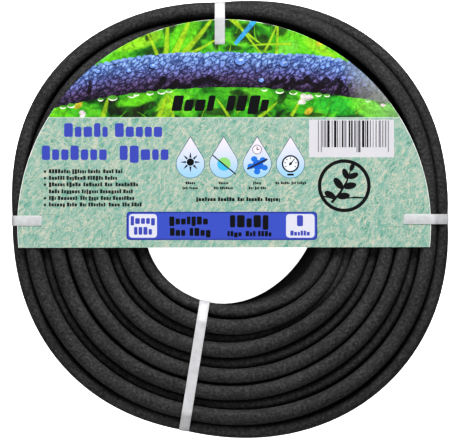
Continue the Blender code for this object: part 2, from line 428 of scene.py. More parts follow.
def face_out(piece, sharp_angle):
    """Turns every face of a closed mesh outward, and keeps edges past an angle sharp."""
    mesh = bmesh.new()
    mesh.from_mesh(piece.data)
    bmesh.ops.recalc_face_normals(mesh, faces=mesh.faces)
    mesh.to_mesh(piece.data)
    mesh.free()
    piece.data.set_sharp_from_angle(angle=math.radians(sharp_angle))


def press_into(rings, loop, direction, offset):
    """Dents the rubber where a strap presses on it."""
    ahead, side = strap_axes(direction)
    flat = rings.reshape(-1, 3)
    reach = STRAP_WIDTH / 2 + DENT_REACH
    lateral = np.abs(flat @ side - offset)
    near = np.nonzero((lateral < reach) & (flat @ ahead > 0.0))[0]
    if not len(near):
        return
    share = smooth_step((reach - lateral[near]) / DENT_FADE)
    place = np.stack([flat[near] @ ahead, flat[near, 2]], axis=1)
    shell = convex_hull(loop)
    edges = np.roll(shell, -1, axis=0) - shell
    normals = unit(np.stack([edges[:, 1], -edges[:, 0]], axis=1))
    depth = ((place[:, None, :] - shell[None, :, :]) * normals[None, :, :]).sum(axis=2)
    depth += STRAP_THICKNESS / 2 + DENT_ROOM
    worst = depth.argmax(axis=1)
    push = np.maximum(depth[np.arange(len(near)), worst], 0.0) * share
    move = -normals[worst] * push[:, None]
    flat[near] += ahead[None, :] * move[:, :1]
    flat[near, 2] += move[:, 1]


def near_end(items, open_end):
    """The few rings nearest the open end, from that end inward."""
    return (items if open_end == "first" else items[::-1])[:BORE_DEPTH_RINGS]


def make_hose(name, line, loops, open_end):
    """A stretch of hose: closed at the join, and open with its real bore at the cut end."""
    rings = ring_points(line, HOSE_RADIUS)
    for strap, loop in zip(STRAPS, loops):
        press_into(rings, loop, strap[1], strap[2])
    inside = near_end(ring_points(line, HOSE_BORE / 2), open_end)
    sides = RING_SIDES
    last = (len(line) - 1) * sides
    bore = len(line) * sides
    mouth, join = (0, last) if open_end == "first" else (last, 0)
    bore_faces = ring_faces(bore, mouth, sides)
    for ring in range(bore, bore + (BORE_DEPTH_RINGS - 1) * sides, sides):
        bore_faces.extend(ring_faces(ring + sides, ring, sides))
    bore_floor = tuple(bore + (BORE_DEPTH_RINGS - 1) * sides + side for side in range(sides))
    join_cap = tuple(join + side for side in range(sides))
    verts = np.concatenate([rings.reshape(-1, 3), inside.reshape(-1, 3)])
    hose = make_mesh(name, verts, tube_faces(len(line), sides) + bore_faces + [bore_floor, join_cap])
    face_out(hose, sharp_angle=60.0)
    run = walk(line)
    along = hose.data.attributes.new("along", "FLOAT", "POINT")
    along.data.foreach_set("value", np.repeat(np.concatenate([run, near_end(run, open_end)]), sides))
    return hose


def make_strap(strap, loop):
    """A strap as one band, with its welded overlap on the coil's outside."""
    name, direction, offset, _ = strap
    ahead, side = strap_axes(direction)
    line = welded_line(loop)
    verts = []
    for (outward, height), normal in zip(line, outward_normals(line)):
        for across, through in STRAP_SECTION:
            lift = through * STRAP_THICKNESS
            point = ahead * (outward + normal[0] * lift) + side * (offset + across * STRAP_WIDTH)
            verts.append(point + np.array([0.0, 0.0, height + normal[1] * lift]))
    sides = len(STRAP_SECTION)
    first_cap = tuple(range(sides))
    last_cap = tuple(range(len(verts) - sides, len(verts)))
    band = make_mesh(name + "_band", verts, tube_faces(len(line), sides) + [first_cap, last_cap])
    face_out(band, sharp_angle=40.0)
    return band


# ---------------------------------------------------------------- materials

def new_material(name):
    """A material with its node tree, and its shader."""
    material = bpy.data.materials.new(name)
    material.use_nodes = True
    return material, material.node_tree, material.node_tree.nodes["Principled BSDF"]


def set_inputs(tree, node, inputs):
    """Sets a node's inputs: a link where the value is a socket, and a constant otherwise."""
    for key, value in inputs.items():
        if isinstance(value, bpy.types.NodeSocket):
            tree.links.new(value, node.inputs[key])
        else:
            node.inputs[key].default_value = value


def add_node(tree, kind, inputs=None, **settings):
    """A node with its settings, its constant inputs and its links."""
    node = tree.nodes.new(kind)
    for key, value in settings.items():
        setattr(node, key, value)
    set_inputs(tree, node, inputs or {})
    return node


def object_place(tree):
    return add_node(tree, "ShaderNodeTexCoord").outputs["Object"]


def stored(tree, name, output="Fac"):
    """What the mesh stores under a name."""
    return add_node(tree, "ShaderNodeAttribute", attribute_name=name).outputs[output]


def noise(tree, place, scale, detail, roughness=0.5, distortion=0.0):
    return add_node(tree, "ShaderNodeTexNoise", {
        "Vector": place, "Scale": scale, "Detail": detail, "Roughness": roughness,
        "Distortion": distortion,
    }).outputs["Fac"]


def mix(tree, factor, first, second, blend="MIX"):
    """Two colours mixed by a factor."""
    return add_node(tree, "ShaderNodeMix", {
        "Factor": factor, 6: first, 7: second,
    }, data_type="RGBA", blend_type=blend).outputs[2]


def bump(tree, height, strength, distance, under=None):
    """A bumped normal, on top of another one where there is one."""
    inputs = {"Height": height, "Strength": strength, "Distance": distance}
    if under is not None:
        inputs["Normal"] = under
    return add_node(tree, "ShaderNodeBump", inputs).outputs["Normal"]


def ramp(tree, factor, stops):
    """A colour ramp; each stop is (position, grey or colour)."""
    node = add_node(tree, "ShaderNodeValToRGB", {"Fac": factor})
    elements = node.color_ramp.elements
    while len(elements) < len(stops):
        elements.new(0.5)
    for element, (position, colour) in zip(elements, stops):
        element.position = position
        shade = (colour, colour, colour) if isinstance(colour, float) else colour
        element.color = (*shade, 1.0)
    return node.outputs["Color"]


def rubber_material():
    """Extruded crumb rubber: dark grey, matt, with crumbs, pores and faint ribs across it; painted shade
    darkens its colour in the crevices between turns.
    """
    material, tree, shader = new_material("porous_rubber")
    place = object_place(tree)
    crumbs = noise(tree, place, 900.0, 3.0, 0.65)
    pores = add_node(tree, "ShaderNodeTexVoronoi", {"Vector": place, "Scale": 620.0})
    patches = noise(tree, place, 28.0, 2.0)
    grains = noise(tree, place, 340.0, 3.0, 0.7)
    ribs = add_node(tree, "ShaderNodeTexNoise", {
        "W": stored(tree, "along"), "Scale": 420.0, "Detail": 2.0,
    }, noise_dimensions="1D").outputs["Fac"]
    speckle = ramp(tree, grains, ((0.32, 0.018), (0.52, 0.041), (0.70, 0.076)))
    shade = ramp(tree, patches, ((0.30, 0.80), (0.70, 1.14)))
    # Painted shade: ambient occlusion darkens the base colour in the crevices where turns crowd each other.
    crevice_occlusion = add_node(tree, "ShaderNodeAmbientOcclusion", {"Distance": 0.009}, samples=6)
    painted_crevice_shade = ramp(tree, crevice_occlusion.outputs["AO"], ((0.18, 0.0), (0.50, 0.48), (0.78, 1.0)))
    pits = ramp(tree, pores.outputs["Distance"], ((0.0, 0.0), (0.35, 1.0)))
    normal = bump(tree, ribs, 0.45, 0.0004)
    for height, strength, distance in ((pits, 0.35, 0.0003), (crumbs, 0.6, 0.0006), (grains, 0.6, 0.0018)):
        normal = bump(tree, height, strength, distance, normal)
    set_inputs(tree, shader, {
        "Base Color": mix(tree, 1.0, mix(tree, 1.0, speckle, shade, "MULTIPLY"), painted_crevice_shade, "MULTIPLY"),
        "Specular IOR Level": 0.18,
        "Roughness": ramp(tree, grains, ((0.30, 0.70), (0.70, 0.50))),
        "Normal": normal,
    })
    return material


def strap_material():
    """Milky polypropylene tape with faint creases."""
    material, tree, shader = new_material("strap_plastic")
    creases = noise(tree, object_place(tree), 160.0, 3.0, 0.6)
    set_inputs(tree, shader, {
        "Base Color": ramp(tree, creases, ((0.30, (0.72, 0.72, 0.745)), (0.70, (0.84, 0.84, 0.86)))),
        "Roughness": ramp(tree, creases, ((0.3, 0.30), (0.7, 0.46))),
        "Alpha": 0.72,
        "Subsurface Weight": 0.15,
        "Subsurface Scale": 0.002,
        "Subsurface Radius": (1.0, 1.0, 1.0),
        "Normal": bump(tree, creases, 0.35, 0.0005),
    })
    return material


def finish_piece(piece, material, slot, *nodes):
    """Gives a piece its material and body, and hides the CAD nodes it stands for; slot is not used."""
    piece.data.materials.append(material)
    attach(piece, "root")
    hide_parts(*nodes)


# ---------------------------------------------------------------- the card's print

def tone(red, green, blue):
    """A linear colour from the 0 to 255 values seen on screen."""
    shares = (value / 255.0 for value in (red, green, blue))
    return tuple(s / 12.92 if s <= 0.04045 else ((s + 0.055) / 1.055) ** 2.4 for s in shares)


WATER, LEAVES, WET_HOSE = 0, 1, 2    # printed patterns that the material draws
BAND_Y = 104.5                       # the picture lies above this line (mm)
RIM_WHITE = 0.5
CARD_TILT = 0.1                      # the straight edge is barely tilted (degrees)
CARD_ARC_POINTS = 200
TITLE_BLUE = tone(66, 78, 178)
BAR_BLUE = tone(66, 86, 190)
BAR_EDGE = tone(44, 54, 150)
PANEL_WHITE = tone(216, 216, 228)
INK_BLACK = tone(12, 13, 16)
INK_SOFT = tone(22, 32, 32)

# The hose in the picture: edge points in millimetres, left to right
PICTURE_HOSE_TOP = (
    (-200, 140), (-160, 153), (-140.6, 158), (-110.9, 164.5), (-80, 168.5), (-51.6, 171), (-4.5, 171.5),
    (39.8, 170), (84, 169), (114, 164.5), (127, 160.5), (150, 151), (210, 135),
)
PICTURE_HOSE_BOTTOM = (
    (-200, 105), (-180.2, 114.5), (-144, 122.0), (-118, 126.5), (-66.5, 132.9), (-14.9, 135.8),
    (36.8, 134.5), (75.5, 130.8), (114, 126.8), (143, 122.8), (165, 119.5), (210, 112),
)


def level_on(edge, x):
    """Height of an edge line at x."""
    return float(np.interp(x, [point[0] for point in edge], [point[1] for point in edge]))


def around(x, y, reach, degrees):
    """The point at a distance and direction from x, y."""
    angle = math.radians(degrees)
    return (x + reach * math.cos(angle), y + reach * math.sin(angle))


def rounded_rect(left, bottom, right, top, corner=0.0, lean=0.0):
    """A rectangle with round corners, leaning right by lean times its height."""
    corner = min(corner, (right - left) / 2.01, (top - bottom) / 2.01)
    middles = (
        (right - corner, bottom + corner, -90.0), (right - corner, top - corner, 0.0),
        (left + corner, top - corner, 90.0), (left + corner, bottom + corner, 180.0),
    )
    turns = (0.0, 30.0, 60.0, 90.0) if corner > 0.0 else (0.0,)
    points = [around(x, y, corner, start + turn) for x, y, start in middles for turn in turns]
    return [(x + lean * (y - bottom), y) for x, y in points]


def oval(x, y, wide, high=None, turn=0.0, steps=28, first=0.0, last=360.0):
    """An oval, or the part of one between two angles; half-widths in millimetres."""
    high = high or wide
    tilt = math.radians(turn)
    whole = last - first >= 360.0
    count = steps if whole else steps + 1
    points = []
    for step in range(count):
        angle = math.radians(first + (last - first) * step / steps)
        along, across = wide * math.cos(angle), high * math.sin(angle)
        points.append((
            x + along * math.cos(tilt) - across * math.sin(tilt),
            y + along * math.sin(tilt) + across * math.cos(tilt),
        ))
    return points


def ribbon(spine, widths):
    """A shape along a line of points, with a width at each point, or one for all."""
    line = np.array(spine, float)
    tangent = unit(np.gradient(line, axis=0))
    half = np.broadcast_to(np.array(widths) / 2, (len(line),))[:, None]
    side = np.stack([-tangent[:, 1], tangent[:, 0]], axis=1) * half
    return [tuple(point) for point in np.vstack([line - side, (line + side)[::-1]])]


def blade(x, y, length, heading, width, bend, taper=0.7):
    """A grass blade: a curved ribbon that narrows to its tip."""
    spine, widths = [], []
    steps = 6
    for step in range(steps + 1):
        share = step / steps
        spine.append((x, y))
        widths.append(width * (1.0 - share) ** taper + 0.15)
        x, y = around(x, y, length / steps, heading + bend * share)
    return ribbon(spine, widths)


def teardrop(x, middle, radius, tip):
    """A drop with its tip upward."""
    rise = tip - middle
    lean = math.degrees(math.asin(radius / rise))
    points = oval(x, middle, radius, steps=30, first=180.0 - lean, last=360.0 + lean)
    return points + [(x, tip)]


class Print:
    """Flat shapes in millimetres, painted one over another on the card's outline."""

    def __init__(self, outline):
        self.shapes = [outline]
        self.layers = [(None, 1.0, None)]
        self.cuts = set()

    def paint(self, points, ink, cover=1.0, inside=None):
        """Adds a shape: ink is a colour, a function of x and y, or one of the patterns."""
        self.shapes.append(points)
        self.layers.append((ink, cover, inside))
        return len(self.shapes) - 1

    def cut(self, points):
        self.cuts.add(self.paint(points, None))

    def ink_at(self, covering, x, y):
        """The colour and the shares of the patterns where these shapes lie over each other."""
        colour, shares = np.array(tone(244, 246, 244)), np.zeros(3)
        for index in sorted(covering)[1:]:
            ink, cover, inside = self.layers[index]
            if inside is not None and inside not in covering:
                continue
            colour, shares = colour * (1.0 - cover), shares * (1.0 - cover)
            if isinstance(ink, int):
                shares[ink] += cover
            else:
                colour = colour + cover * np.array(ink(x, y) if callable(ink) else ink)
        return colour, shares

    def triangles(self):
        """The shapes cut into triangles: points, triangles, and the shapes that cover each."""
        points, faces = [], []
        for shape in self.shapes:
            area = sum(a[0] * b[1] - b[0] * a[1] for a, b in zip(shape, shape[1:] + shape[:1]))
            ordered = shape if area > 0.0 else shape[::-1]
            faces.append(list(range(len(points), len(points) + len(ordered))))
            points.extend(Vector(point) for point in ordered)
        result = delaunay_2d_cdt(points, [], faces, 1, 0.0005)
        kept = [
            (triangle, covering) for triangle, covering in zip(result[2], result[5])
            if 0 in covering and not self.cuts & set(covering)
        ]
        return result[0], kept


def greek_words(sheet, spans, base, size, ink, draws, corner=0.0, lean=0.0):
    """Greeked words: small blocks in each span, and never letters."""
    for start, stop in spans:
        x = start
        while x < stop - 0.25 * size:
            width = min(draws.uniform(0.42, 0.66) * size, stop - x)
            tall = size if draws.random() < 0.3 or x == start else 0.74 * size
            drop = 0.2 * size if draws.random() < 0.1 else 0.0
            sheet.paint(rounded_rect(x, base - drop, x + width, base + tall, corner, lean), ink)
            x += width + 0.15 * size


def greek_line(sheet, left, right, base, size, ink, draws):
    """A whole line of greeked words of chance lengths."""
    spans = []
    x = left
    while x < right - size:
        stop = min(x + draws.uniform(1.6, 5.4) * size, right)
        spans.append((x, right if right - stop < 2.2 * size else stop))
        x = spans[-1][1] + 0.5 * size
    greek_words(sheet, spans, base, size, ink, draws)


LEAF_BRIGHT = tone(112, 212, 34)
LEAF_LIME = tone(158, 216, 44)
LEAF_YELLOW = tone(178, 198, 34)
LEAF_MID = tone(60, 168, 36)
LEAF_DEEP = tone(34, 104, 30)
HOLLOW = tone(34, 36, 22)

# Leaves in the picture: x, y, half-length, half-width (mm), turn (degrees), colour
PICTURE_LEAVES = (
    (-118, 176, 34, 13, 34, LEAF_BRIGHT), (-96, 184, 26, 9, 14, LEAF_LIME),
    (-140, 164, 16, 6, 30, tone(92, 190, 86)), (-46, 190, 22, 12, 60, LEAF_BRIGHT),
    (72, 184, 26, 12, -10, LEAF_BRIGHT), (98, 176, 22, 8, -26, LEAF_LIME),
    (60, 176, 12, 8, 10, tone(120, 206, 70)), (118, 168, 20, 5, -30, LEAF_BRIGHT),
    (-176, 108, 14, 9, 20, LEAF_BRIGHT), (-158, 112, 12, 7, -20, LEAF_MID),
    (-96, 122, 20, 6, 12, LEAF_BRIGHT), (-66, 114, 8, 16, -24, LEAF_LIME),
    (70, 112, 18, 7, 30, LEAF_MID), (112, 116, 24, 9, -6, tone(56, 196, 60)),
    (146, 112, 22, 8, -16, LEAF_BRIGHT), (24, 116, 12, 8, 60, LEAF_MID),
)

# Dark hollows between them: x, y, half-length, half-width, turn
PICTURE_HOLLOWS = (
    (-92, 196, 4, 9, 20), (-76, 172, 12, 4, 14), (-62, 196, 8, 5, 40), (-34, 178, 8, 5, 80),
    (-28, 190, 5, 6, 0), (16, 192, 14, 9, 30), (34, 182, 9, 8, 70), (52, 194, 8, 6, 0),
    (86, 188, 7, 2.4, -20), (4, 176, 10, 3, 0), (-106, 111, 14, 5, 4), (-84, 116, 9, 4, 20),
    (-126, 120, 8, 3, 12), (-12, 110, 15, 4, 0), (12, 122, 11, 6, 40), (34, 108, 10, 4, 0),
    (54, 124, 7, 4, 60), (-40, 118, 8, 5, 30), (88, 107, 10, 2.4, 0), (64, 107, 7, 3, 0),
    (24, 186, 7, 5, 60), (44, 204, 10, 5, 20), (40, 176, 5, 3, 0), (-84, 187, 4, 3, 60),
    (-14, 182, 4, 8, 10), (-100, 106, 9, 3, 0), (-74, 108, 7, 3, 10), (8, 130, 8, 3, 0),
)

# Broad blades of grass: x, y, length, heading, width
PICTURE_BLADES = (
    (-60, 164, 54, 62, 7.0), (-52, 166, 60, 46, 6.0), (-66, 166, 46, 84, 5.4), (-74, 168, 34, 112, 3.6),
    (-46, 168, 40, 24, 3.4), (48, 166, 44, 84, 3.0), (36, 172, 40, 62, 2.6), (64, 180, 44, 178, 2.8),
    (-5, 212, 52, -44, 3.6), (6, 206, 54, -56, 2.8), (-132, 102, 24, 70, 5.4), (-74, 102, 30, 66, 5.0),
    (-58, 104, 22, 100, 3.6), (30, 104, 26, 36, 3.6), (64, 106, 26, 58, 3.4), (0, 104, 24, 120, 3.0),
)


def paint_soft(sheet, x, y, wide, high, turn, ink, cover, band):
    """An oval with a blurred edge."""
    for grow, share in ((1.15, 0.30), (1.0, 0.40), (0.82, 0.55)):
        shape = oval(x, y, wide * grow, high * grow, turn, steps=16)
        sheet.paint(shape, ink, cover * share, inside=band)


def paint_picture(sheet, art, draws):
    """The picture: leaves and grass with a wet porous hose across them."""
    band = sheet.paint(
        [(-230.0, BAND_Y), (230.0, BAND_Y), (230.0, 230.0), (-230.0, 230.0)], LEAVES, inside=art)
    for x, y, half, width, turn, ink in PICTURE_LEAVES:
        paint_soft(sheet, x, y, half, width, turn, ink, 0.9, band)
    for x, y, wide, high, turn in PICTURE_HOLLOWS:
        paint_soft(sheet, x, y, wide, high, turn, HOLLOW, 1.0, band)
        sheet.paint(oval(x + draws.uniform(-3.0, 3.0), y + draws.uniform(-2.0, 2.0), wide * 0.4,
                         high * 0.3, turn + 40.0, steps=10), LEAF_DEEP, 0.6, inside=band)
    greens = (LEAF_BRIGHT, LEAF_LIME, LEAF_MID, LEAF_DEEP)
    for _ in range(56):
        low = draws.random() < 0.5
        x = draws.uniform(-185.0, 165.0)
        y = draws.uniform(100.0, 114.0) if low else draws.uniform(166.0, 192.0)
        grass = blade(x, y, draws.uniform(9.0, 22.0), draws.gauss(80.0, 40.0),
                      draws.uniform(0.8, 2.2), draws.uniform(-40.0, 40.0))
        sheet.paint(grass, draws.choice(greens), 0.55, inside=band)
    for x, y, length, heading, width in PICTURE_BLADES:
        for grow, share, ink in ((1.4, 0.35, LEAF_MID), (1.0, 0.65, LEAF_YELLOW), (0.5, 0.4, LEAF_LIME)):
            grass = blade(x, y, length, heading, width * grow, 10.0, taper=0.4)
            sheet.paint(grass, ink, share, inside=band)
    for x, y in ((122, 170), (94, 182), (82, 111), (-156, 117)):
        paint_soft(sheet, x, y, 5.0, 3.0, 40.0, tone(236, 190, 60), 0.7, band)
    sheet.paint(ribbon([(27.2, 206.0), (16.5, 192.6), (5.8, 180.0)], (5.2, 5.0, 3.6)),
                tone(62, 160, 216), 0.92, inside=band)
    paint_wet_hose(sheet, band, draws)
    for x, y, size in ((-151.8, 108.3, 5.2), (78.6, 123.5, 7.4), (159.0, 117.0, 3.0)):
        for _ in range(7):
            petal = oval(x + draws.uniform(-0.7, 0.7) * size, y + draws.uniform(-0.5, 0.5) * size,
                         size * 0.5, size * 0.34, draws.uniform(-20.0, 40.0), steps=12)
            sheet.paint(petal, tone(238, 218, 226), 0.6, inside=band)


# Dark pits under the pictured hose's lit side: x, y, length, heading, width
WET_PITS = (
    (-145, 131, 13, 84, 4.0), (-76, 133, 17, 52, 5.6), (-62, 134, 12, 40, 6.0), (-50, 136, 11, 4, 4.6),
    (-34, 141, 20, 12, 6.0), (-16, 142, 9, -20, 4.0), (42, 136, 14, 48, 4.4), (50, 140, 10, 24, 4.0),
    (58, 135, 15, 46, 5.4), (68, 138, 19, 24, 6.4), (82, 141, 11, -24, 3.6), (90, 133, 19, 42, 6.0),
    (104, 137, 13, 34, 4.0), (112, 131, 12, 66, 5.0), (120, 131, 11, 52, 3.6),
)

# Water drops: x, y, half-width on the hose, and x, half-width along its lower edge
DROPS_ON_HOSE = (
    (10.9, 162.4, 6.0), (56.6, 160.0, 5.0), (-79.2, 157.6, 3.6), (-103.9, 152.6, 3.0),
    (-136.0, 152.0, 3.0), (-118.0, 161.0, 2.6), (96.0, 156.0, 2.8), (33.0, 143.0, 3.4),
)
DROPS_UNDER_HOSE = (
    (-172.0, 3.2), (-163.5, 4.2), (-133.0, 3.0), (-120.5, 5.0), (-101.0, 4.6), (-96.0, 3.0),
    (-82.0, 4.0), (-70.0, 4.6), (-62.5, 3.6), (36.0, 3.4), (52.0, 4.6), (66.0, 4.4),
    (92.0, 3.6), (101.0, 3.0), (143.0, 2.8),
)


def paint_wet_hose(sheet, band, draws):
    """The hose in the picture, with water drops on it and under it, and a painted highlight over the
    picture's right end.
    """
    lower = [
        (x, level_on(PICTURE_HOSE_BOTTOM, x) + draws.uniform(-0.5, 0.5))
        for x in np.arange(-196.0, 200.0, 3.0)
    ]
    upper = [
        (x, level_on(PICTURE_HOSE_TOP, x) + draws.uniform(-0.8, 0.9))
        for x in np.arange(199.0, -197.0, -2.6)
    ]
    hose = sheet.paint(lower + upper, WET_HOSE, inside=band)
    for x, y, length, heading, width in WET_PITS:
        for share in (0.0, 0.35, 0.7):
            middle = around(x, y, length * share, heading)
            pit = oval(*middle, width * draws.uniform(0.6, 1.0), width * draws.uniform(0.4, 0.7),
                       heading + draws.uniform(-30.0, 30.0), steps=9)
            sheet.paint(pit, tone(18, 11, 18), 0.92, inside=hose)
    for x, size in DROPS_UNDER_HOSE:
        y = level_on(PICTURE_HOSE_BOTTOM, x) - 0.3 * size
        sheet.paint(oval(x, y, size, size * 0.55, steps=18), tone(96, 176, 60), 0.8, inside=band)
        rim = oval(x, y, size * 0.9, size * 0.5, first=185.0, last=355.0, steps=10)
        sheet.paint(ribbon(rim, [0.5 + 0.9 * math.sin(math.pi * i / 10.0) for i in range(11)]),
                    tone(236, 246, 222), inside=band)
    for x in np.arange(-150.0, 140.0, 7.0):
        x = x + draws.uniform(-3.0, 3.0)
        y = level_on(PICTURE_HOSE_TOP, x) - 0.4
        bead = oval(x, y, draws.uniform(1.4, 2.8), draws.uniform(1.0, 1.8), steps=12)
        sheet.paint(bead, tone(136, 168, 232), 0.8, inside=band)
    for x, y, size in DROPS_ON_HOSE:
        sheet.paint(oval(x - 0.3, y - 1.1, size, size * 0.78), tone(30, 22, 52), 0.85, inside=hose)
        sheet.paint(oval(x, y, size * 0.86, size * 0.62), tone(112, 148, 222), inside=hose)
        sheet.paint(oval(x + size * 0.15, y + size * 0.22, size * 0.42, size * 0.2, 10.0, steps=12),
                    tone(196, 218, 250), 0.9, inside=hose)
    # Painted highlight: a faint lighter, greyer sheen laid in steps over the picture's right end, on the hose
    # and on the leaves beside it.
    for reach in range(118, 160, 5):
        painted_sheen_patch = [(reach + 14.0, 100.0), (215.0, 100.0), (215.0, 175.0), (reach - 6.0, 175.0)]
        sheet.paint(painted_sheen_patch, tone(150, 138, 160), 0.09, inside=hose)
        sheet.paint(painted_sheen_patch, tone(170, 196, 150), 0.06, inside=band)


def drop_blend(_, y):
    """Pale blue at a drop's foot and nearly white at its tip."""
    share = min(max((y - 46.0) / 34.0, 0.0), 1.0)
    low, high = tone(158, 204, 238), tone(236, 224, 238)
    return tuple(a + (b - a) * share for a, b in zip(low, high))


def paint_sun(sheet, x, y):
    for turn in range(0, 360, 45):
        sheet.paint(blade(*around(x, y, 4.6, turn), 5.4, turn, 1.9, 0.0), INK_BLACK)
    sheet.paint(oval(x, y, 3.8), INK_BLACK)


def paint_struck_disc(sheet, x, y):
    """A disc in two colours with a bar across it."""
    sheet.paint(oval(x, y, 6.9, first=-40.0, last=140.0), tone(146, 208, 120))
    sheet.paint(oval(x, y, 6.9, first=140.0, last=320.0), tone(72, 184, 226))
    sheet.paint(ribbon([(x - 12.0, y + 9.4), (x, y - 0.7), (x + 12.4, y - 10.6)], (1.2, 1.3, 1.2)), INK_BLACK)


def paint_splash(sheet, x, y):
    """A splash with round lobes and a bar across it."""
    star = [
        (x + (7.6 if step % 2 else 5.6) * math.cos(math.radians(36.0 * step + 12.0)),
         y + (7.0 if step % 2 else 5.0) * math.sin(math.radians(36.0 * step + 12.0)))
        for step in range(10)
    ]
    sheet.paint(star, tone(34, 104, 206))
    for lobe in star[1::2]:
        sheet.paint(oval(*lobe, 3.3, 2.9, steps=14), tone(36, 118, 214))
    bar = [(x - 11.0, y - 4.3), (x - 0.6, y + 0.8), (x + 9.8, y + 6.0)]
    sheet.paint(ribbon(bar, (1.9, 2.0, 1.9)), tone(36, 40, 66))


def paint_clock(sheet, x, y):
    sheet.paint(oval(x, y, 4.9), tone(60, 44, 60))
    sheet.paint(oval(x, y, 4.3), tone(240, 226, 236))
    sheet.paint(ribbon([(x, y + 3.0), (x, y + 0.2), (x, y - 0.6)], 0.8), INK_BLACK)
    sheet.paint(ribbon([(x - 0.3, y - 0.3), (x + 1.0, y), (x + 2.4, y + 0.3)], 0.8), INK_BLACK)


def paint_icons(sheet, draws):
    """Four drops with a sun, a struck disc, a splash under a clock, and a gauge."""
    columns = (-40.3, -5.9, 28.7, 63.1)
    for x in columns:
        sheet.paint(teardrop(x, 56.4, 14.9, 85.2), tone(58, 78, 92))
        sheet.paint(teardrop(x, 56.4, 14.4, 84.0), drop_blend)
    paint_sun(sheet, -40.3, 58.2)
    paint_struck_disc(sheet, -5.6, 56.2)
    paint_splash(sheet, 29.4, 55.3)
    paint_clock(sheet, 28.6, 71.2)
    paint_gauge(sheet, 63.1, 56.5)
    for x in columns[:3]:
        for y, half in ((35.4, draws.uniform(4.0, 5.5)), (30.2, draws.uniform(8.0, 11.0))):
            greek_line(sheet, x - half, x + half, y, 2.7, INK_SOFT, draws)
    greek_line(sheet, 47.5, 79.0, 35.4, 2.7, INK_SOFT, draws)
    greek_line(sheet, -34.2, 52.1, 17.9, 4.1, INK_BLACK, draws)


def paint_gauge(sheet, x, y):
    """A round pressure gauge with a scale and a needle."""
    sheet.paint(oval(x, y, 9.0), INK_BLACK)
    sheet.paint(oval(x, y, 7.4), tone(232, 238, 248))
    for turn in range(-30, 211, 40):
        sheet.paint(ribbon([around(x, y, reach, turn) for reach in (4.8, 5.7, 6.6)], 0.8), INK_BLACK)
    needle = [(x - 1.2, y - 1.4), (x + 1.6, y + 1.8), (x + 3.8, y + 4.4)]
    sheet.paint(ribbon(needle, (1.6, 1.3, 0.4)), INK_BLACK)
    sheet.paint(oval(x, y, 1.5, steps=14), INK_BLACK)
    sheet.paint(rounded_rect(x - 3.4, y - 12.2, x + 3.4, y - 10.2, 0.6), INK_BLACK)


def paint_emblem(sheet):
    """A leaf sprig in a ring."""
    x, y = 118.6, 33.8
    sheet.paint(oval(x, y, 27.3, steps=72), INK_BLACK)
    sheet.paint(oval(x, y, 23.7, steps=72), WATER)
    stem = [(x - 13.0, y - 17.5), (x - 4.0, y - 7.0), (x + 2.5, y + 4.0), (x + 6.5, y + 16.0)]
    sheet.paint(ribbon(stem, (2.8, 2.3, 1.8, 1.0)), INK_BLACK)
    for share, heading, length in (
        (0.15, 150.0, 13.0), (0.2, 5.0, 13.5), (0.45, 128.0, 14.0), (0.5, 12.0, 13.5),
        (0.75, 112.0, 11.5), (0.78, 22.0, 11.5), (0.98, 66.0, 9.0),
    ):
        places = np.linspace(0.0, 1.0, len(stem))
        foot = [float(np.interp(share, places, [point[axis] for point in stem])) for axis in (0, 1)]
        middle = around(*foot, length / 2, heading)
        sheet.paint(oval(*middle, length / 2, length * 0.26, heading, steps=20), INK_BLACK)
    ground = [(x - 22.0, y - 11.0), (x - 14.0, y - 12.0), (x - 7.0, y - 10.6)]
    sheet.paint(ribbon(ground, (1.4, 1.8, 0.8)), INK_BLACK)
    sheet.paint(ribbon([(x + 2.0, y - 13.0), (x + 11.0, y - 12.0), (x + 20.5, y - 12.6)],
                       (0.8, 1.8, 1.4)), INK_BLACK)


def paint_barcode(sheet, draws):
    """A pale panel with bars of made-up widths and no number."""
    sheet.paint(rounded_rect(82.2, 63.2, 170.0, 102.0), tone(214, 211, 217), 0.94)
    x = 91.5
    greys = (tone(16, 16, 20), tone(24, 24, 28), tone(96, 94, 100), tone(140, 138, 146))
    index = 0
    while x < 164.0:
        width = draws.choice((0.8, 0.8, 1.6, 2.4))
        guard = index in (0, 1, 14, 15) or x > 161.0
        foot = 68.4 if guard else 73.5
        ink = greys[2] if guard else draws.choice(greys)
        sheet.paint(rounded_rect(x, foot, x + width, 101.2), ink)
        x += width + draws.choice((0.8, 0.9, 1.6, 2.2))
        index += 1


def paint_bar(sheet, draws):
    """The blue bar under the icons, with a white panel at each end."""
    sheet.paint(rounded_rect(-106.3, -22.3, 90.7, 6.9, 3.4), BAR_EDGE)
    sheet.paint(rounded_rect(-105.0, -21.0, 89.4, 5.6, 2.6), BAR_BLUE)
    for left, right in ((-103.7, -74.8), (58.5, 88.0)):
        sheet.paint(rounded_rect(left, -19.9, right, 4.6, 3.4), PANEL_WHITE)
    for spans, base, size, ink, corner in (
        ([(-102.0, -77.0)], -5.6, 8.0, TITLE_BLUE, 1.0), ([(-98.5, -80.0)], -16.8, 8.0, TITLE_BLUE, 1.0),
        ([(-62.0, -19.5)], -6.2, 8.2, INK_BLACK, 1.0),
        ([(-61.4, -45.5), (-41.0, -19.5)], -18.0, 8.2, INK_BLACK, 1.0),
        ([(0.6, 42.0)], -9.2, 12.6, INK_BLACK, 1.6),
    ):
        greek_words(sheet, spans, base, size, ink, draws, corner)
    greek_line(sheet, -2.0, 45.0, -18.4, 5.4, INK_BLACK, draws)
    greek_words(sheet, [(69.8, 76.0)], -8.0, 11.4, TITLE_BLUE, draws, 1.6)
    greek_words(sheet, [(63.0, 83.0)], -17.6, 5.0, TITLE_BLUE, draws)


def card_outline(inset=0.0):
    """The card's edge: an arc closed by a straight edge that is barely tilted."""
    centre = (CARD_CENTRE[0] / MM, CARD_CENTRE[1] / MM)
    radius = CARD_RADIUS / MM - inset
    drop = math.degrees(math.asin((centre[1] - CARD_EDGE_Y / MM) / radius))
    turns = np.linspace(-drop + CARD_TILT, 180.0 + drop + CARD_TILT, CARD_ARC_POINTS)
    return [around(*centre, radius, turn) for turn in turns]


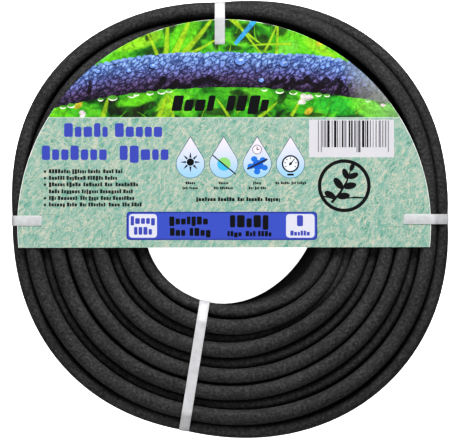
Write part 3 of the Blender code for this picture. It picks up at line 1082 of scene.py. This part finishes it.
def make_print():
    """Everything on the card's face, in painting order."""
    draws = random.Random(SEED)
    sheet = Print(card_outline())
    art = sheet.paint(card_outline(RIM_WHITE), WATER)
    paint_picture(sheet, art, draws)
    seam = rounded_rect(-230.0, BAND_Y - 0.8, 230.0, BAND_Y)
    sheet.paint(seam, tone(200, 214, 208), 0.8, inside=art)
    greek_words(sheet, [(-60.0, -14.0), (-4.0, 39.0)], 111.0, 16.0, INK_BLACK, draws, 1.6, 0.2)
    greek_words(sheet, [(-170.7, -125.7), (-118.2, -67.7)], 84.2, 14.2, TITLE_BLUE, draws, 2.0)
    greek_words(sheet, [(-193.6, -120.9), (-113.3, -62.1)], 60.4, 14.8, TITLE_BLUE, draws, 2.0)
    for y, right, starts_point in (
        (48.8, -110.5, True), (42.0, -115.1, True), (35.3, -94.4, True), (28.1, -99.6, False),
        (21.2, -97.5, True), (14.5, -89.3, True),
    ):
        greek_line(sheet, -186.4, right, y - 2.1, 4.1, INK_SOFT, draws)
        if starts_point:
            sheet.paint(oval(-190.5, y - 0.4, 1.3, steps=12), INK_SOFT)
    paint_icons(sheet, draws)
    paint_barcode(sheet, draws)
    paint_emblem(sheet)
    paint_bar(sheet, draws)
    # Thin dark lines beside the slots where the card is die-cut: the cuts are real, and their dark line is
    # painted shade drawn as ink.
    for spine in (
        [(-193.6, 3.9), (-186.0, 3.9), (-179.1, 3.8)], [(-193.6, -10.2), (-192.0, -10.8), (-190.6, -10.3)],
        [(161.8, -8.4), (170.0, -8.5), (179.3, -8.7)], [(195.4, -16.2), (197.9, -15.3), (200.0, -14.2)],
        [(-14.7, 178.9), (-14.7, 174.0), (-14.7, 169.0)],
    ):
        sheet.paint(ribbon(spine, (0.35, 0.45, 0.35)), tone(92, 128, 116), 0.8)
    for _, direction, offset, slot in STRAPS:
        if slot:
            sheet.cut(slot_corners(direction, offset, slot))
    return sheet


def slot_corners(direction, offset, slot):
    """The slit that a strap passes through, in millimetres."""
    ahead, side = strap_axes(direction)
    half = STRAP_WIDTH / 2 + SLOT_SIDE_ROOM
    corners = []
    for outward, across in ((SLOT_NEAR, -half), (SLOT_FAR, -half), (SLOT_FAR, half), (SLOT_NEAR, half)):
        point = (ahead * (slot + outward) + side * (offset + across)) / MM
        corners.append((float(point[0]), float(point[1])))
    return corners


def store_on_corners(mesh, name, kind, field, values):
    """Stores a value at each face corner."""
    layer = mesh.attributes.new(name, kind, "CORNER")
    layer.data.foreach_set(field, np.array(values, np.float32).ravel())


def make_card():
    """The card as one closed sheet whose face is cut along every printed edge."""
    sheet = make_print()
    points, kept = sheet.triangles()
    used = sorted({index for triangle, _ in kept for index in triangle})
    place = {old: new for new, old in enumerate(used)}
    count = len(used)
    flat = [(points[index].x * MM, points[index].y * MM) for index in used]
    verts = [(x, y, CARD_TOP) for x, y in flat] + [(x, y, CARD_BOTTOM) for x, y in flat]
    faces, inks, shares, across = [], [], [], []
    for triangle, covering in kept:
        faces.append([place[index] for index in triangle])
        for index in triangle:
            x, y = points[index]
            colour, share = sheet.ink_at(set(covering), x, y)
            inks.append((*colour, 1.0))
            shares.append((*share, 1.0))
            across.append(hose_share(x, y))
    borders = {}
    for face in faces:
        for first, second in zip(face, face[1:] + face[:1]):
            borders[(first, second)] = borders.get((first, second), 0) + 1
    walls = [
        (second, first, first + count, second + count)
        for first, second in borders if (second, first) not in borders
    ]
    backs = [[index + count for index in face[::-1]] for face in faces]
    card = make_mesh("printed_half_round_card", verts, faces + backs + walls, smooth=False)
    plain = len(card.data.loops) - len(inks)
    inks.extend([(*tone(238, 237, 230), 1.0)] * plain)
    shares.extend([(0.0, 0.0, 0.0, 1.0)] * plain)
    across.extend([0.0] * plain)
    store_on_corners(card.data, "ink", "FLOAT_COLOR", "color", inks)
    store_on_corners(card.data, "pattern", "FLOAT_COLOR", "color", shares)
    store_on_corners(card.data, "across", "FLOAT", "value", across)
    return card


def hose_share(x, y):
    """How far up the pictured hose a point lies, from 0 at its lower edge to 1."""
    low, high = level_on(PICTURE_HOSE_BOTTOM, x), level_on(PICTURE_HOSE_TOP, x)
    return float(np.clip((y - low) / max(high - low, 1.0), 0.0, 1.0))


def turned_place(tree, place, degrees, size):
    """Coordinates turned on the card, and stretched to the size of a pattern's features."""
    return add_node(tree, "ShaderNodeMapping", {
        "Vector": place, "Rotation": (0.0, 0.0, math.radians(degrees)), "Scale": size,
    }, vector_type="TEXTURE").outputs["Vector"]


def water_pattern(tree, place):
    """Sunlit rippled water: pale sea green under thin curling cream glints, up to the right."""
    turned = turned_place(tree, place, 54.0, (0.0120, 0.0062, 0.01))
    colour = ramp(tree, noise(tree, turned, 1.2, 5.0, 0.7, 0.5), (
        (0.32, tone(88, 150, 134)), (0.44, tone(124, 172, 156)), (0.56, tone(148, 182, 168)),
        (0.70, tone(180, 190, 180)),
    ))
    for shift, scale, strength in ((0.0, 0.62, 0.9), (4.0, 0.9, 0.7), (8.0, 0.45, 0.6)):
        field = add_node(tree, "ShaderNodeTexNoise", {
            "Vector": turned, "W": shift, "Scale": scale, "Detail": 1.2, "Distortion": 1.6,
        }, noise_dimensions="4D").outputs["Fac"]
        glint = ramp(tree, field, ((0.468, 0.0), (0.50, strength), (0.522, 0.0)))
        colour = mix(tree, glint, colour, (*tone(206, 202, 184), 1.0))
    return colour


def leaves_pattern(tree, place):
    """Out-of-focus grass: lime and mid green with dark hollows."""
    return ramp(tree, noise(tree, place, 34.0, 3.0, 0.5, 0.9), (
        (0.36, tone(26, 52, 20)), (0.44, tone(40, 124, 30)), (0.53, tone(76, 176, 36)),
        (0.66, tone(112, 204, 48)),
    ))


def product(tree, first, second):
    return add_node(tree, "ShaderNodeMath", {0: first, 1: second}, operation="MULTIPLY").outputs["Value"]


def wet_hose_pattern(tree, place):
    """Wet pitted rubber: blue where it is lit, dark purple below, all in fine broken facets."""
    across = stored(tree, "across")
    slanted = turned_place(tree, place, 38.0, (0.0036, 0.0021, 0.003))
    wander = add_node(tree, "ShaderNodeTexNoise", {
        "Vector": slanted, "Scale": 0.8, "Detail": 3.0, "Roughness": 0.7,
    }).outputs["Color"]
    facets = add_node(tree, "ShaderNodeMix", {
        "Factor": 0.6, 4: slanted, 5: wander,
    }, data_type="VECTOR").outputs[1]
    edges = add_node(tree, "ShaderNodeTexVoronoi", {
        "Vector": facets, "Scale": 1.25,
    }, feature="DISTANCE_TO_EDGE").outputs["Distance"]
    rough = noise(tree, slanted, 0.85, 4.0, 0.7)
    lit = ramp(tree, across, (
        (0.0, tone(54, 40, 58)), (0.25, tone(112, 90, 136)), (0.50, tone(124, 132, 202)),
        (0.78, tone(142, 178, 236)), (1.0, tone(168, 204, 246)),
    ))
    dim = ramp(tree, across, ((0.0, tone(14, 9, 18)), (0.45, tone(40, 32, 64)), (1.0, tone(66, 92, 164))))
    raised = ramp(tree, edges, ((0.02, 0.0), (0.20, 1.0)))
    grain = ramp(tree, rough, ((0.38, 0.0), (0.54, 1.0)))
    body = mix(tree, product(tree, raised, grain), dim, lit)
    glints = ramp(tree, rough, ((0.62, 0.0), (0.72, 0.75)))
    upper_side = ramp(tree, across, ((0.25, 0.1), (0.65, 1.0)))
    return mix(tree, product(tree, glints, upper_side), body, (*tone(186, 212, 248), 1.0))


def picture_grain(tree, place, colour):
    """Fine light and dark detail over the picture only."""
    fine = noise(tree, place, 130.0, 4.0, 0.62, 1.2)
    shade = ramp(tree, fine, ((0.36, 0.62), (0.50, 0.98), (0.64, 1.22)))
    height = add_node(tree, "ShaderNodeSeparateXYZ", {"Vector": place}).outputs["Y"]
    above = add_node(tree, "ShaderNodeMath", {0: height, 1: BAND_Y * MM}, operation="GREATER_THAN")
    return mix(tree, above.outputs["Value"], colour, shade, "MULTIPLY")


def card_material():
    """Printed card: inks from the face's own colours, patterns where the print has them."""
    material, tree, shader = new_material("printed_card")
    place = object_place(tree)
    shares = add_node(tree, "ShaderNodeSeparateColor", {"Color": stored(tree, "pattern", "Color")})
    colour = stored(tree, "ink", "Color")
    for output, pattern in zip(("Red", "Green", "Blue"), (water_pattern, leaves_pattern, wet_hose_pattern)):
        colour = mix(tree, shares.outputs[output], colour, pattern(tree, place), "ADD")
    fibres = noise(tree, place, 420.0, 3.0)
    set_inputs(tree, shader, {
        "Base Color": picture_grain(tree, place, colour),
        "Roughness": ramp(tree, fibres, ((0.3, 0.58), (0.7, 0.50))),
        "Specular IOR Level": 0.25,
        "Normal": bump(tree, fibres, 0.08, 0.0002),
    })
    return material


# ---------------------------------------------------------------- camera, light and floor

CAMERA_LENS = 800.0                  # the photograph is nearly free of perspective
CAMERA_SENSOR = 36.0
CAMERA_CENTRE = (-0.00506, -0.00160)
FRAME_WIDTH = 0.4638                 # width of the picture at the top of the coil
WORLD_STRENGTH = 0.07
LIGHT_AIM = (0.0, 0.0, 0.1)

# Each light: name, place, size (m) and power (W)
LIGHTS = (
    ("key", (0.2, 1.9, 1.5), 1.1, 58.0),
    ("fill", (-0.4, -1.7, 1.2), 1.2, 15.0),
    ("left", (-1.9, 0.2, 1.2), 1.0, 11.0),
    ("right", (1.9, 0.4, 1.2), 1.0, 11.0),
)


def add_camera():
    camera = bpy.data.objects.new("camera", bpy.data.cameras.new("camera"))
    camera.data.sensor_width = CAMERA_SENSOR
    camera.data.lens = CAMERA_LENS
    height = COIL_TOP + FRAME_WIDTH * CAMERA_LENS / CAMERA_SENSOR
    camera.location = (*CAMERA_CENTRE, height)
    camera.data.clip_end = 50.0
    bpy.context.scene.collection.objects.link(camera)
    bpy.context.scene.camera = camera


def add_area(name, place, size, power):
    """A square light aimed at the coil."""
    light = bpy.data.lights.new(name, "AREA")
    light.shape = "SQUARE"
    light.size = size
    light.energy = power
    item = bpy.data.objects.new(name, light)
    item.location = place
    item.rotation_euler = (Vector(LIGHT_AIM) - Vector(place)).to_track_quat("-Z", "Y").to_euler()
    bpy.context.scene.collection.objects.link(item)


def add_light():
    world = bpy.data.worlds.new("studio")
    world.use_nodes = True
    background = world.node_tree.nodes["Background"]
    background.inputs["Color"].default_value = (1.0, 1.0, 1.0, 1.0)
    background.inputs["Strength"].default_value = WORLD_STRENGTH
    bpy.context.scene.world = world
    for light in LIGHTS:
        add_area(*light)
    bpy.context.scene.view_settings.view_transform = "Standard"
    bpy.context.scene.view_settings.look = "Medium High Contrast"


def add_floor():
    """A plain pale floor, kept evenly bright."""
    bpy.ops.mesh.primitive_plane_add(size=8.0)
    floor = bpy.context.active_object
    floor.name = "floor"
    material, tree, shader = new_material("floor")
    set_inputs(tree, shader, {
        "Base Color": (0.93, 0.93, 0.93, 1.0),
        "Roughness": 0.9,
        "Emission Color": (1.0, 1.0, 1.0, 1.0),
        "Emission Strength": 1.0,
    })
    floor.data.materials.append(material)
    floor.visible_diffuse = False
    floor.visible_glossy = False


# ---------------------------------------------------------------- putting it together

def hose_lines():
    """The two stretches' centrelines, which meet end to end inside the coil."""
    points, split = route_points()
    first = resample(points[:split + 1], RING_SPACING)
    second = resample(points[split:], RING_SPACING)
    first[-1] += (first[-2] - first[-1]) * JOIN_GAP / RING_SPACING
    return first, second


def add_hose(loops, lines):
    """The hose's two stretches, which meet end to end at the join."""
    rubber = rubber_material()
    names = ("hose_first_stretch", "hose_second_stretch")
    nodes = (("hose_inner_end",), ("hose_coil", "hose_outer_end"))
    for name, line, open_end, replaced in zip(names, lines, ("first", "last"), nodes):
        hose = make_hose(name, line, loops, open_end)
        finish_piece(hose, rubber, "porous_rubber", *replaced)


def add_straps(loops):
    tape = strap_material()
    for strap, loop in zip(STRAPS, loops):
        band = make_strap(strap, loop)
        finish_piece(band, tape, "strap_plastic", strap[0])


add_camera()
add_light()
add_floor()
LINES = hose_lines()
LOOPS = [
    strap_loop(np.vstack([crossings(line, strap[1], strap[2]) for line in LINES]), strap)
    for strap in STRAPS
]
add_hose(LOOPS, LINES)
add_straps(LOOPS)
finish_piece(make_card(), card_material(), "printed_card", "label_card")
